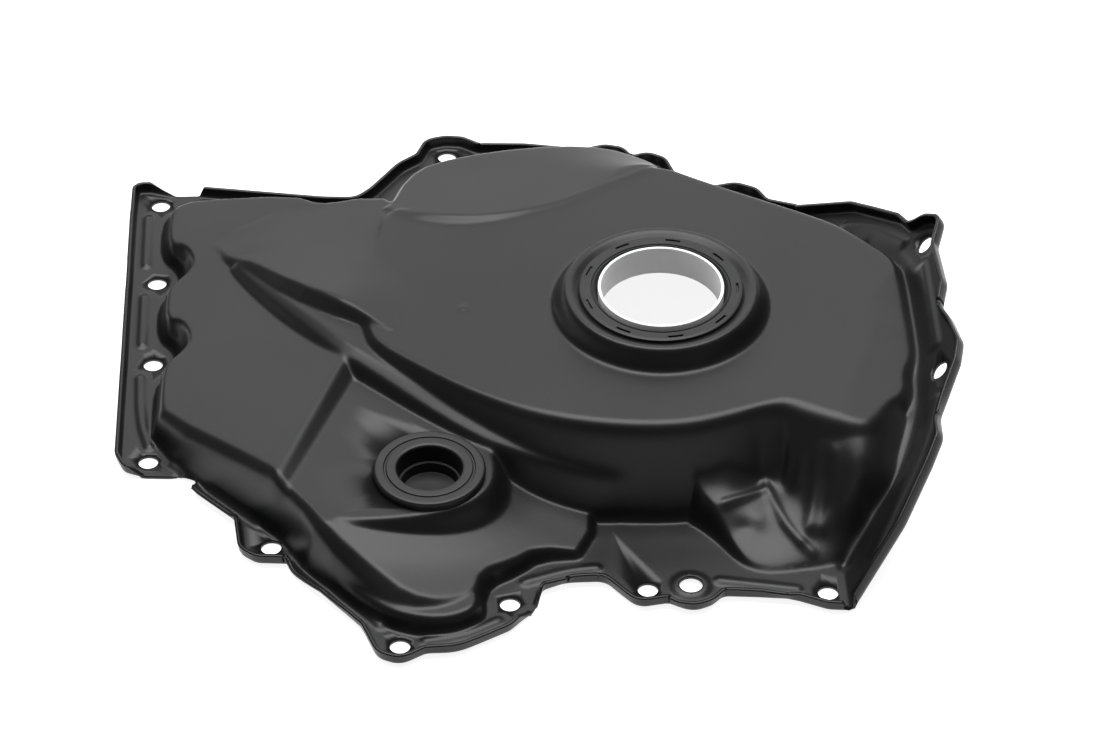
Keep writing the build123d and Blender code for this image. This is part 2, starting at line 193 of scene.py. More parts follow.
# outer edge of flange and wing: x, y, corner radius
flange_outline = [
    (-219, -43, 4), (-216, -50, 4), (-209, -53, 5), (-194, -54, 6), (-189, -58, 6), (-185, -65, 4),
    (-171, -80, 8), (-169, -100, 7), (-163, -105, 6), (-150, -106, 6), (-122, -143, 8),
    (-116, -160, 7), (-108, -164, 8), (-98, -158, 6), (-86, -158, 20), (-66, -147, 10),
    (-56, -136, 7), (-53, -125, 6), (-44, -121, 10), (-28, -121, 8), (-21, -130, 6),
    (-16, -136, 8), (-4, -134, 6), (5, -139, 8), (12, -136, 6), (17, -131, 6), (42, -133, 8),
    (57, -140, 10), (67, -141, 2),
    (88, -118, 20), (100, -98, 10), (105, -88, 8), (105, -76, 6), (109, -68, 6), (115, -55, 10),
    (117, -46, 8), (115, -31, 8), (112, -18, 8), (115, -7, 10), (114, 18, 8), (118, 30, 5),
    (113, 37, 5), (107, 39, 5), (104, 49, 10), (88, 78, 20), (66, 104, 10), (52, 109, 6),
    (48, 117, 6), (40, 121, 7), (31, 119, 6), (24, 121, 6), (13, 130, 6), (10, 140, 6),
    (3, 144, 6), (-4, 141, 5), (-8, 148, 5), (-15, 150, 6), (-22, 148, 6), (-34, 149, 20),
    (-50, 152, 20), (-70, 153, 8), (-77, 158, 6), (-84, 159, 8), (-92, 157, 6), (-96, 147, 6),
    (-104, 141, 20), (-116, 124, 14), (-123, 117, 10), (-138, 118, 60), (-190, 127, 30),
    (-200, 127, 4), (-212, 131, 4), (-218, 131, 4),
]
# screw holes of the flange and of the wing
flange_holes = [
    (-207.1, 120.8), (-207.1, 68.1), (-207.1, 15.5), (-207.1, -44.7), (-157.5, -97.0),
    (-107.9, -154.2), (-65.3, -132.7), (-11.8, -126.7), (57.6, -131.2), (-83.7, 150.3),
    (-13.5, 139.5), (3.0, 134.0), (39.5, 110.0),
]
wing_holes = [(109.2, 26.3), (107.0, -50.1)]
hole_r = 4.0
# hole on a low round rise of the flange
dished_hole = (4.9, -126.0)
dished_hole_r = 4.6
seal_bore_r = 33.0
plug_centre = (-94.9, -80.3)
plug_hole_r = 17.0

# y of the two left holes that the panel is drawn back from
scallop_holes = (68, 15.5)


def scallops(rows):
    """Rows round each of those holes. A row's x is kept, and its y counts from the hole's centre."""
    return [(row[0], y + row[1]) + row[2:] for y in scallop_holes for row in rows]


# foot of the ledge round the left panel
ledge_foot = [
    (-205, 105), *scallops([(-205, 15), (-197, 6), (-197, -6), (-205, -14)]),
    (-205, -30), (-196, -48), (-163, -82), (-149, -97), (-134, -122), (-116, -142), (-100, -149),
    (-86, -149), (-74, -141), (-78, -120), (-100, -70), (-104, 60), (-112, 99), (-138, 105),
    (-168, 113), (-190, 117), (-202, 114),
]
# edge of the left panel: x, y, width of the first, flatter part of its wall
panel_edge = [
    (-202, 102, 1),
    *scallops([(-202, 16, 0.5), (-196, 14, 0.5), (-192, 5, 0.5), (-192, -4, 0.5), (-199, -12, 0.5),
               (-202, -17, 0.5)]),
    (-202, -22, 1), (-200, -32, 4), (-160, -73, 4), (-146, -90, 3), (-134, -110, 5),
    (-115, -127, 6), (-104, -137, 5), (-91, -139, 4), (-79, -133, 2), (-76, -121, 2),
    (-63, -114, 2), (-54, -107, 1), (-33, -107, 0.5), (-31, -60, 0.5), (-60, 60, 1),
    (-100, 86, 1), (-111, 84, 1), (-138, 94, 1), (-150, 104, 1), (-192, 113, 1), (-200, 110, 1),
]
# step between the left panel and the one beside the plug
step_line = ((-155, -78), (-132, -21))
step_width = 8.7

# pad under the plug
pad_level = 23.2
pad_edge = [
    (-148, -91), (-135, -105), (-106, -105), (-84, -100), (-72, -89), (-70, -76), (-72, -67),
    (-62, -50), (-105, -10), (-119, -19), (-127, -36), (-142, -73),
]

# form in front of the dome with the long ridge: x, y, height, width of the gentle part, slope beyond that
# ridge_fall is the slope of the gentle part
ridge_fall = 0.42
ridge = [
    (-175, 64, 18, 1.5, 1.6), (-166, 47, 21.5, 3, 1.6), (-146, 18, 28.5, 5, 1.6),
    (-128, -7, 31, 5, 1.6), (-115, -19, 30, 5, 1.6), (-94, -39, 29.5, 6, 1.8),
    (-73, -55, 29, 8, 2.0), (-56, -66, 27.5, 7, 2.5), (-30, -76, 23.5, 5.5, 2.8),
    (-9, -81, 19, 1, 3.2), (8, -72, 18, 1, 3.2), (0, 20, 18, 1, 3), (-100, 60, 20, 1, 2),
    (-140, 60, 18, 1, 2),
]

# hill left of the dome: edge as x, y, z, edge radius, wall slope, and points of its surface
hill_edge = [
    (-178, 68, 15.5, 3, 0.8), (-167, 57, 22, 3, 1.2), (-146, 29, 32, 2.5, 1.3),
    (-131, 15, 35.5, 2, 1.4), (-120, 7, 35, 2, 1.5), (-106, -8, 34.4, 2, 1.5), (-92, 10, 35.3, 2, 1),
    (-90, 56, 35.5, 2, 1), (-104, 72, 34, 1, 3), (-112, 92, 25, 1, 3), (-150, 96, 19, 1, 3),
    (-185, 80, 13, 1, 3),
]
hill_points = [
    (-175, 65, 17.5), (-167, 57, 22), (-146, 29, 32), (-131, 15, 35.5), (-120, 7, 35),
    (-106, -8, 34.4), (-92, 10, 35.3), (-90, 56, 35.5), (-105, 35, 34.2), (-106, 70, 33.8),
    (-120, 40, 33.2), (-136, 36, 31.2), (-140, 60, 26), (-124, 68, 29), (-155, 80, 20),
    (-190, 80, 12.5), (-170, 98, 15.5), (-128, 92, 24),
]

# edge of the dome: x, y, edge radius, wall slope
dome_edge = [
    (-114, -12, 2, 1.6), (-94, -31, 3, 1.7), (-78, -45, 3.5, 1.8), (-59, -58, 4.5, 2.1),
    (-43, -65, 5.5, 2.4), (-20, -70, 6, 2.8), (4, -71, 6, 2.8), (22, -66, 6, 2.6),
    (37, -61, 4.5, 2.4), (47, -58, 8, 1.7), (60, -65, 9, 1.6), (74, -73, 7, 1.6), (79, -69, 6, 1.6),
    (86, -59, 4, 1.5), (93, -54, 2.5, 1.4), (93, -43, 2.5, 1.4), (99, -31, 2.5, 1.4),
    (100, -10, 2.5, 1.4), (98, 14, 2.5, 1.4), (96, 25, 2.5, 1.4), (81, 40, 4, 1.7), (72, 49, 4, 1.7),
    (50, 62, 4, 1.7), (22, 78, 4, 1.7), (3, 91, 3, 1.5), (-12, 82, 1.5, 0.3), (-30, 72, 1.5, 0.3),
    (-48, 64, 1.5, 0.3), (-70, 61, 1.5, 0.3), (-92, 65, 1.5, 0.5), (-109, 75, 1.5, 1.1),
    (-114, 48, 1.5, 0.8), (-119, 10, 1.5, 0.8), (-117, -4, 1.5, 1.2),
]
# the dome falls away slightly to the right of this line
right_crease = [
    (98, 23), (90, 11), (85, -1), (84, -14), (78, -34), (68, -60), (56, -92),
]

# sloping field behind the dome: near crest and far edge, x, y, z
lens_crest = [
    (-110, 76, 33), (-92, 65, 37.5), (-70, 61, 39.5), (-46, 65, 40.5), (-25, 75, 40.5), (1, 92, 39.5),
]
# left of the crankshaft the dome itself ends at this y, where the field covers it
lens_cover_y = 110
lens_far = [
    (-107, 77, 33), (-100, 101, 29), (-90, 113, 27), (-65, 120, 27), (-36, 123, 27), (-16, 118, 29),
    (-3, 104, 34), (3, 95, 37),
]

# pocket at the lower right: edge as x, y, wall slope, and points of its surface
toe_edge = [
    (9.5, -86, 3.2), (14.5, -91.5, 3.2), (18.5, -98, 3.2), (23, -108, 3.0), (27, -114, 2.6),
    (31.5, -117.2, 2.2), (38, -118.6, 2.0), (47, -117.0, 1.8), (62, -115.6, 1.5),
    (72, -109, 1.5), (84, -94, 1.5), (92, -82, 1.5), (96, -68, 1.5), (80, -45, 1.5),
    (30, -45, 1.5), (6, -62, 2.5),
]
toe_points = [
    (8, -72, 30), (20, -66, 36), (30, -62, 38), (37, -61, 38.5), (46, -61, 38.5),
    (58, -66, 38.0), (70, -72, 37.5), (78, -74, 36), (86, -64, 36), (93, -54, 35),
    (14, -84, 17), (22.5, -78, 20), (22.7, -69, 29), (31, -70, 26), (31, -78, 15),
    (19.0, -92, 13.5), (28, -88.5, 12.6), (36.9, -82.5, 11.8), (37.5, -76.5, 13),
    (37.5, -71, 24), (37.5, -66, 33), (46, -67, 32), (45.4, -75, 21.5), (45, -83, 13),
    (53.5, -72, 30), (54, -80, 23), (55, -90, 16), (61, -80, 29), (62, -88, 22),
    (61, -97, 14), (72, -88, 29.5), (73, -98, 18), (67, -101, 15), (84.2, -91, 21),
    (80, -83, 30), (24, -97, 10.0), (30, -93, 11.0), (38, -92, 10.6), (41.3, -97, 9.2),
    (36, -104, 6.4), (28, -106, 6.2), (22, -103, 7.0), (27, -112, 4.2), (36, -115, 3.6),
    (47.6, -108, 6.4), (46, -99, 9.4), (51, -103, 9.0), (57, -107, 7.0), (47, -115, 3.6),
    (60, -113, 3.6), (70, -105, 8), (76, -98, 14), (90, -80, 24),
]

# dents and bulges of that pocket: x, y, widths in x and y, rise
toe_dents = [
    (44.6, -75.0, 3.0, 6.0, -2.6), (22.0, -74.0, 5.0, 6.0, 1.0), (60.8, -77.0, 2.5, 4.0, 0.8),
    (27.0, -100.0, 3.0, 2.5, -0.8), (33.0, -97.0, 3.0, 3.5, 0.7),
]
# folds of that pocket: points, width, rise
toe_folds = [
    ([(37.2, -64.0), (37.4, -72.0), (37.3, -78.0)], 1.3, 1.3),
    ([(37.3, -80.0), (40.5, -92.0), (44.0, -101.0), (48.5, -107.5)], 1.6, 1.5),
    ([(51.0, -68.0), (51.5, -76.0), (49.5, -84.0)], 1.8, 1.5),
    ([(57.0, -76.0), (56.0, -88.0), (53.0, -102.0)], 2.6, 1.5),
    ([(63.0, -82.0), (63.5, -88.0), (58.0, -103.0)], 2.4, 1.2),
    ([(19.5, -92.0), (28.0, -88.0), (36.0, -83.0)], 1.6, 1.3),
    ([(73.0, -92.0), (66.0, -100.0)], 2.2, 0.9),
    ([(50.0, -109.0), (53.0, -112.0)], 1.8, 1.0),
]

# valley between the raised form and the wing
valley = [
    (88, 52), (98, 32), (101, 19), (102, -20), (102, -34), (100, -44), (99, -60), (93, -80),
    (86, -92), (66, -116),
]

# stiffening beads of the flange
beads = [
    [(-212, 112), (-212, 80)],
    [(-212, 59), (-212, 28)],
    [(-212, 7), (-211, -20), (-207, -36)],
    [(-197, -47), (-162, -83)],
    [(-148, -100), (-115, -143)],
    [(-98, -152), (-84, -150), (-70, -142)],
    [(-59, -121), (-42, -115), (-31, -114)],
    [(16, -123), (46, -129)],
    [(82, 73), (91, 61), (102, 36)],
    [(107, 14), (107, -35)],
    [(104, -64), (97, -86), (76, -121)],
]
bead_width = 1.6
bead_height = 1.3

# small round pip on the left part of the dome
pip = (-79.7, 4.0)

# raised rim round the seal bore: radius, height
boss_foot_r = 45.0
boss_profile = [
    (0, 46.4), (33, 46.4), (34.2, 47.2), (36.0, 48.2), (37.6, 48.6), (38.7, 48.5), (39.4, 48.0),
    (40.2, 46.6), (42.6, 41.3), (43.5, 40.3), (boss_foot_r, 39.9),
]

# level of a form where it has ended, under all the others
nowhere = -50


def left_panel(x, y):
    """Plane of the left panel."""
    return 16.5 + 0.19 * (x + 195) - 0.045 * (y + 30)


def plug_panel(x, y):
    """Plane of the panel beside the plug, which stays at or under the pad."""
    return np.minimum(pad_level, 18.9 - 0.165 * (x + 118) + 0.09 * (y + 95))


def blur(z, sigma):
    """Gaussian smoothing of a grid, in cells."""
    reach = int(3 * sigma + 1)
    k = np.exp(-0.5 * (np.arange(-reach, reach + 1) / sigma) ** 2)
    k /= k.sum()
    for axis in (0, 1):
        pad = [(0, 0), (0, 0)]
        pad[axis] = (reach, reach)
        wide = np.pad(z, pad, mode="edge")
        z = sum(
            w * np.take(wide, np.arange(i, i + z.shape[axis]), axis=axis) for i, w in enumerate(k)
        )
    return z


def dome_top(x):
    """Level of the dome, which falls gently to the left."""
    fall = 0.097 * (-48 - x)
    return 40.0 - 0.5 * (fall + np.sqrt(fall * fall + 0.6))


def height_map(x, y):
    """Top of the pressing over the flange plane."""
    # flange and wing, with beads and the rise under the dished hole
    base = np.maximum(sheet, x - fold_x + sheet * root_two)
    for line in beads:
        d, _ = nearest(cut_corners(line, 2, False), x, y, False)
        base = base + bead_height * smooth_step((bead_width + 0.7 - d) / 1.3)
    d = np.hypot(x - dished_hole[0], y - dished_hole[1])
    base = base + 1.6 * smooth_step((9.0 - d) / 3.0)

    d, _ = nearest(cut_corners(ledge_foot, 2), x, y)
    ledge = np.interp(d, [0, 1.2, 3.4], [sheet, 7.2, 8.8])
    ledge = np.where(d > 0, ledge, nowhere)

    across = -side_of(x, y, step_line)
    w = smooth_step(across / step_width)
    pad_d, _ = nearest(cut_corners(pad_edge, 2), x, y)
    beside = np.exp(-((np.maximum(-pad_d, 0) / 13.0) ** 2))
    low = np.minimum(plug_panel(x, y) + 2.8 * beside, pad_level)
    top = left_panel(x, y) * (1 - w) + low * w
    d, v = nearest(cut_corners(panel_edge, 1), x, y)
    out = np.maximum(-d, 0)
    band = np.minimum(out, v[0])
    panel = top - 0.84 * band - 5.0 * (out - band)

    # the pad falls off with the panel's edge, so that it leaves the flange's holes clear
    pad = pad_level - drop(-pad_d, 2.2, 1.9) - 4.0 * out

    d, v = nearest(cut_corners(ridge, 2), x, y)
    out = np.maximum(-d, 0)
    band = np.minimum(out, v[1])
    crest = v[0] - ridge_fall * band - v[2] * (out - band)

    d, v = nearest(cut_corners(hill_edge, 1), x, y)
    hill = np.where(d > 0, thin_plate(hill_points, x, y), v[0] - drop(-d, v[1], v[2]))

    d, v = nearest(cut_corners(dome_edge, 2), x, y)
    level = dome_top(x)
    off, _ = nearest(right_crease, x, y, False)
    crease_y = [p[1] for p in right_crease[::-1]]
    crease_x = [p[0] for p in right_crease[::-1]]
    east = np.where(x > np.interp(y, crease_y, crease_x), off, 0)
    level = level - 0.15 * np.maximum(east - 1, 0)
    near_crest, cz = nearest(cut_corners(lens_crest, 2, False), x, y, False)
    lift = np.maximum(cz[0] - dome_top(x), 0.7)
    level_up = level + lift * np.exp(-((near_crest / 2.6) ** 2))
    dome = level_up - drop(-d, v[0], v[1])
    dome = np.where((x < 0) & (y > lens_cover_y), nowhere, dome)

    loop = lens_crest + lens_far[::-1]
    d, v = nearest(cut_corners(loop, 1), x, y)
    lens = np.minimum(thin_plate(lens_crest + lens_far, x, y), cz[0])
    lens = np.where(d > 0, lens, v[0] - drop(-d, 2.0, 2.2))
    lens = np.where(d > -12, lens, nowhere)

    d, v = nearest(cut_corners(toe_edge, 2), x, y)
    toe = thin_plate(toe_points, x, y)
    for cx, cy, rx, ry, rise in toe_dents:
        toe = toe + rise * np.exp(-(((x - cx) / rx) ** 2) - ((y - cy) / ry) ** 2)
    for line, wide, rise in toe_folds:
        off, _ = nearest(cut_corners(line, 2, False), x, y, False)
        toe = toe + rise * np.exp(-((off / wide) ** 2))
    toe = np.minimum(toe, level - 0.8) - v[0] * np.maximum(-d, 0)
    toe = np.where(d > -14, toe, nowhere)

    profile = boss_profile + [(boss_foot_r + 1, nowhere)]
    boss = np.interp(np.hypot(x, y), [r for r, _ in profile], [z for _, z in profile])

    # the highest form shows at each place; the valley is pressed into it and the pip stands on it
    z = base
    for tier in (ledge, panel, pad, crest, hill, dome, lens, toe, boss):
        z = np.maximum(z, tier)
    d, _ = nearest(cut_corners(valley, 2, False), x, y, False)
    z = z - 2.4 * np.exp(-((d / 2.3) ** 2))
    d = np.hypot(x - pip[0], y - pip[1])
    z = z + 0.7 * np.exp(-((d / 1.4) ** 2))
    return np.maximum(z, base - 3.0)


def outline_distance(x, y):
    """Distance inside the outer edge of the cover, negative outside it."""
    d, _ = nearest(rounded(flange_outline), x, y)
    return d


def holes_distance(x, y):
    """Distance outside every hole, negative within one."""
    d = np.hypot(x, y) - seal_bore_r
    d = np.minimum(d, np.hypot(x - plug_centre[0], y - plug_centre[1]) - plug_hole_r)
    for cx, cy in flange_holes:
        d = np.minimum(d, np.hypot(x - cx, y - cy) - hole_r)
    d = np.minimum(d, np.hypot(x - dished_hole[0], y - dished_hole[1]) - dished_hole_r)
    for cx, cy in wing_holes:
        d = np.minimum(d, np.hypot((x - cx) * root_two, y - cy) - hole_r)
    return d


# width of the outer strip that is turned up as a lip
lip_bend = 2.2


def sheet_distance(x, y):
    """Distance inside the flat of the sheet, without its lip and holes."""
    return np.minimum(outline_distance(x, y) - lip_bend, holes_distance(x, y))


def sample(grid, x0, y0, x, y):
    """Bilinear reading of a grid."""
    u = np.clip((x - x0) / step, 0, grid.shape[1] - 1.001)
    v = np.clip((y - y0) / step, 0, grid.shape[0] - 1.001)
    i = u.astype(int)
    j = v.astype(int)
    fu = u - i
    fv = v - j
    return (
        grid[j, i] * (1 - fu) * (1 - fv)
        + grid[j, i + 1] * fu * (1 - fv)
        + grid[j + 1, i] * (1 - fu) * fv
        + grid[j + 1, i + 1] * fu * fv
    )


def lip_share(x, y):
    """How much of the turned-up lip there is at a place on the edge, 0 to 1."""
    share = np.ones_like(x)
    # places where the lip stops, and how far
    gaps = [
        ((-200, 128), 10.5), ((-198, -56), 12.5), ((-57.5, -135.5), 3.5), ((66, -142), 4.0),
    ]
    for (cx, cy), r in gaps:
        d = np.hypot(x - cx, y - cy)
        share = share * smooth_step((d - r) / 2.0 + 0.5)
    return share


def make_mesh(name, verts, faces):
    mesh = bpy.data.meshes.new(name)
    mesh.from_pydata(verts, [], faces)
    mesh.validate()
    mesh.polygons.foreach_set("use_smooth", [True] * len(mesh.polygons))
    obj = bpy.data.objects.new(name, mesh)
    bpy.context.scene.collection.objects.link(obj)
    return obj


# the sheet's bends are rounded by a blur of this width
bend_blur = 0.9

# grid points between these two distances from the edge are drawn onto it; outside it they are negative
edge_inside = 0.30 * step
edge_outside = -1.6 * step

# the upper side is thinned to about this many triangles, before the lip and the under side are added
upper_triangles = 80000

# rows of the turned-up lip: reach outwards and rise
lip_rows = [
    (0.55, 0.05), (1.05, 0.28), (1.42, 0.68), (1.66, 1.25), (1.85, 2.2), (2.0, 3.2),
    (2.1, 4.05), (2.16, 4.45),
]
# rows that turn down into the seal bore
bore_rows = [-0.12, -0.5, -2.0, -7.5]


def build_cover():
    """The pressing: a height map cut to its outline, with lip and bore wall, given its thickness."""
    x0, x1, y0, y1 = -222.0, 122.0, -170.0, 166.0
    gx, gy = np.meshgrid(np.arange(x0, x1, step), np.arange(y0, y1, step))
    z = blur(height_map(gx, gy), bend_blur / step)
    edge = sheet_distance(gx, gy)
    ey, ex = np.gradient(edge, step)

    # grid points just outside the edge, and very close inside it, are drawn onto it
    moved_x = gx.copy()
    moved_y = gy.copy()
    for again in (False, True):
        d = sheet_distance(moved_x, moved_y) if again else edge
        gxn = sample(ex, x0, y0, moved_x, moved_y)
        gyn = sample(ey, x0, y0, moved_x, moved_y)
        norm = np.maximum(np.hypot(gxn, gyn) ** 2, 0.25)
        pull = (edge < edge_inside) & (edge > edge_outside)
        moved_x = np.where(pull, moved_x - d * gxn / norm, moved_x)
        moved_y = np.where(pull, moved_y - d * gyn / norm, moved_y)
    keep = edge > edge_inside
    rows, cols = gx.shape
    inside = keep[:-1, :-1].astype(int) + keep[1:, :-1] + keep[:-1, 1:] + keep[1:, 1:]
    lowest = np.minimum.reduce([edge[:-1, :-1], edge[1:, :-1], edge[:-1, 1:], edge[1:, 1:]])
    use = (inside >= 1) & (lowest > edge_outside)
    index = np.arange(rows * cols).reshape(rows, cols)
    a = index[:-1, :-1][use]
    b = index[:-1, 1:][use]
    c = index[1:, 1:][use]
    e = index[1:, :-1][use]
    used = np.unique(np.concatenate([a, b, c, e]))
    remap = -np.ones(rows * cols, int)
    remap[used] = np.arange(len(used))
    px = moved_x.ravel()[used]
    py = moved_y.ravel()[used]
    pz = sample(z, x0, y0, px, py)
    faces = np.stack([remap[a], remap[b], remap[c], remap[e]], axis=1)
    obj = make_mesh("cover_pressing_shape", np.stack([px, py, pz], axis=1).tolist(), faces.tolist())

    triangles = 2 * len(faces)
    if triangles > upper_triangles:
        mod = obj.modifiers.new("thin", "DECIMATE")
        mod.ratio = upper_triangles / triangles
        deps = bpy.context.evaluated_depsgraph_get()
        mesh = bpy.data.meshes.new_from_object(obj.evaluated_get(deps))
        obj.modifiers.clear()
        old = obj.data
        obj.data = mesh
        bpy.data.meshes.remove(old)

    mesh = obj.data
    count = len(mesh.vertices)
    co = np.zeros(count * 3)
    mesh.vertices.foreach_get("co", co)
    co = co.reshape(-1, 3)
    polys = [tuple(p.vertices) for p in mesh.polygons]

    # normals read from the height map
    dzy, dzx = np.gradient(z, step)
    nx = -sample(dzx, x0, y0, co[:, 0], co[:, 1])
    ny = -sample(dzy, x0, y0, co[:, 0], co[:, 1])
    normal = np.stack([nx, ny, np.ones_like(nx)], axis=1)
    normal /= np.linalg.norm(normal, axis=1)[:, None]

    # boundary edges, in the direction of their face
    seen = {}
    for p in polys:
        for i in range(len(p)):
            seen[(p[i], p[(i + 1) % len(p)])] = True
    border = [k for k in seen if (k[1], k[0]) not in seen]
    follow = {k[0]: k[1] for k in border}
    before = {k[1]: k[0] for k in border}
    ring = [v for v in follow if v in before]

    verts = co.tolist()
    norms = normal.tolist()
    outer = outline_distance(co[:, 0], co[:, 1]) < lip_bend + 1.2
    bore = np.hypot(co[:, 0], co[:, 1]) < seal_bore_r + 1.5
    share = lip_share(co[:, 0], co[:, 1])
    rows_of = {}
    for v in ring:
        if not outer[v] and not bore[v]:
            continue
        prev = np.array(verts[before[v]])
        nxt = np.array(verts[follow[v]])
        along = nxt - prev
        along /= max(np.linalg.norm(along), 1e-9)
        up = normal[v]
        out = np.cross(along, up)
        out /= max(np.linalg.norm(out), 1e-9)
        ids = []
        if outer[v]:
            for i, (reach, rise) in enumerate(lip_rows):
                s = share[v]
                flat_reach = lip_bend * (i + 1) / len(lip_rows)
                p = co[v] + out * (reach * s + flat_reach * (1 - s)) + up * rise * s
                ids.append(len(verts))
                verts.append(p.tolist())
                norms.append([0.0, 0.0, 0.0])
        else:
            for rise in bore_rows:
                p = co[v].copy()
                p[2] += rise
                ids.append(len(verts))
                verts.append(p.tolist())
                norms.append([0.0, 0.0, 0.0])
        rows_of[v] = ids

    top_faces = list(polys)
    last = {}
    for a, b in border:
        if a in rows_of and b in rows_of:
            ra = [a] + rows_of[a]
            rb = [b] + rows_of[b]
            for i in range(len(ra) - 1):
                top_faces.append((rb[i], ra[i], ra[i + 1], rb[i + 1]))
            last[(a, b)] = (ra[-1], rb[-1])
        else:
            last[(a, b)] = (a, b)

    # the under side is the same surface moved inwards by the sheet thickness
    shell = make_mesh("tmp", verts, top_faces)
    shell_normals = np.zeros(len(verts) * 3)
    shell.data.vertices.foreach_get("normal", shell_normals)
    shell_normals = shell_normals.reshape(-1, 3)
    bpy.data.objects.remove(shell)
    base = np.array(verts)
    under_n = shell_normals.copy()
    under_n[:count] = normal
    under = base - under_n * sheet
    under[:, 2] = np.maximum(under[:, 2], 0.0)
    total = len(verts)
    verts = verts + under.tolist()
    all_faces = list(top_faces)
    all_faces += [tuple(i + total for i in reversed(f)) for f in top_faces]
    for a, b in last.values():
        all_faces.append((b, a, a + total, b + total))
    bpy.data.objects.remove(obj)
    cover = make_mesh("cover_pressing_shape", verts, all_faces)
    cover.data.transform(Matrix.Scale(mm, 4))
    # a normal of zero leaves that point to Blender's own, as at the rim
    full = norms + [[-n[0], -n[1], -n[2]] for n in norms]
    edge_rows = set()
    for a, b in last.values():
        edge_rows.update([a, b])
    for i in edge_rows:
        full[i] = [0.0, 0.0, 0.0]
        full[i + total] = [0.0, 0.0, 0.0]
    cover.data.normals_split_custom_set_from_vertices(full)
    return cover


# materials


# how strongly the paint, rubber, steel and plastic reflect at a straight look
specular = 0.3


def material(name):
    mat = bpy.data.materials.new(name)
    mat.use_nodes = True
    tree = mat.node_tree
    return mat, tree, tree.nodes["Principled BSDF"]


def mottled(name, dark, light, rough, spread, scale, bump, bump_scale):
    """Paint, rubber, steel or plastic with a slight unevenness in colour, gloss and surface."""
    mat, tree, shader = material(name)
    place = tree.nodes.new("ShaderNodeTexCoord")
    noise = tree.nodes.new("ShaderNodeTexNoise")
    noise.inputs["Scale"].default_value = scale
    noise.inputs["Detail"].default_value = 4.0
    ramp = tree.nodes.new("ShaderNodeValToRGB")
    ramp.color_ramp.elements[0].position = 0.35
    ramp.color_ramp.elements[0].color = (*dark, 1)
    ramp.color_ramp.elements[1].position = 0.68
    ramp.color_ramp.elements[1].color = (*light, 1)
    gloss = tree.nodes.new("ShaderNodeMapRange")
    gloss.inputs["To Min"].default_value = rough - spread
    gloss.inputs["To Max"].default_value = rough + spread
    fine = tree.nodes.new("ShaderNodeTexNoise")
    fine.inputs["Scale"].default_value = bump_scale
    fine.inputs["Detail"].default_value = 3.0
    relief = tree.nodes.new("ShaderNodeBump")
    relief.inputs["Strength"].default_value = bump
    relief.inputs["Distance"].default_value = 0.0002
    link = tree.links.new
    link(place.outputs["Object"], noise.inputs["Vector"])
    link(place.outputs["Object"], fine.inputs["Vector"])
    link(noise.outputs["Fac"], ramp.inputs["Fac"])
    link(noise.outputs["Fac"], gloss.inputs["Value"])
    link(ramp.outputs["Color"], shader.inputs["Base Color"])
    link(gloss.outputs["Result"], shader.inputs["Roughness"])
    link(fine.outputs["Fac"], relief.inputs["Height"])
    link(relief.outputs["Normal"], shader.inputs["Normal"])
    shader.inputs["Specular IOR Level"].default_value = specular
    return mat


paint = mottled(
    "black_paint", dark=(0.005, 0.005, 0.0056), light=(0.009, 0.0088, 0.0094),
    rough=0.36, spread=0.03, scale=14, bump=0.12, bump_scale=900,
)
rubber = mottled(
    "black_rubber", dark=(0.006, 0.006, 0.007), light=(0.011, 0.011, 0.012),
    rough=0.42, spread=0.04, scale=60, bump=0.15, bump_scale=1500,
)
lip_rubber = mottled(
    "dark_lip", dark=(0.016, 0.009, 0.005), light=(0.028, 0.016, 0.009),
    rough=0.45, spread=0.04, scale=80, bump=0.1, bump_scale=1500,
)
steel = mottled(
    "seal_steel", dark=(0.05, 0.05, 0.052), light=(0.09, 0.09, 0.093),
    rough=0.35, spread=0.05, scale=40, bump=0.1, bump_scale=900,
)
steel.node_tree.nodes["Principled BSDF"].inputs["Metallic"].default_value = 0.9
white = mottled(
    "white_plastic", dark=(0.90, 0.90, 0.90), light=(0.94, 0.94, 0.94),
    rough=0.38, spread=0.03, scale=30, bump=0.05, bump_scale=900,
)
white_shader = white.node_tree.nodes["Principled BSDF"]
white_shader.inputs["Subsurface Weight"].default_value = 0.6
white_shader.inputs["Subsurface Radius"].default_value = (0.002, 0.002, 0.002)


def close_mesh(obj, sharp_degrees):
    """Welds points that coincide, turns the faces outwards and marks the sharp edges."""
    bm = bmesh.new()
    bm.from_mesh(obj.data)
    bmesh.ops.remove_doubles(bm, verts=bm.verts, dist=1e-7)
    bmesh.ops.recalc_face_normals(bm, faces=bm.faces)
    bm.to_mesh(obj.data)
    bm.free()
    obj.data.set_sharp_from_angle(angle=math.radians(sharp_degrees))
    return obj


def lathe(name, profile, centre=(0, 0), turns=144):
    """Solid of revolution from a closed r, z profile in millimetres."""
    verts = []
    faces = []
    n = len(profile)
    for k in range(turns):
        a = 2 * math.pi * k / turns
        ca, sa = math.cos(a), math.sin(a)
        for r, z in profile:
            verts.append(((centre[0] + r * ca) * mm, (centre[1] + r * sa) * mm, z * mm))
    for k in range(turns):
        for i in range(n):
            j = (i + 1) % n
            k2 = (k + 1) % turns
            if profile[i][0] < 1e-6 and profile[j][0] < 1e-6:
                continue
            faces.append((k * n + i, k2 * n + i, k2 * n + j, k * n + j))
    return close_mesh(make_mesh(name, verts, faces), 38)


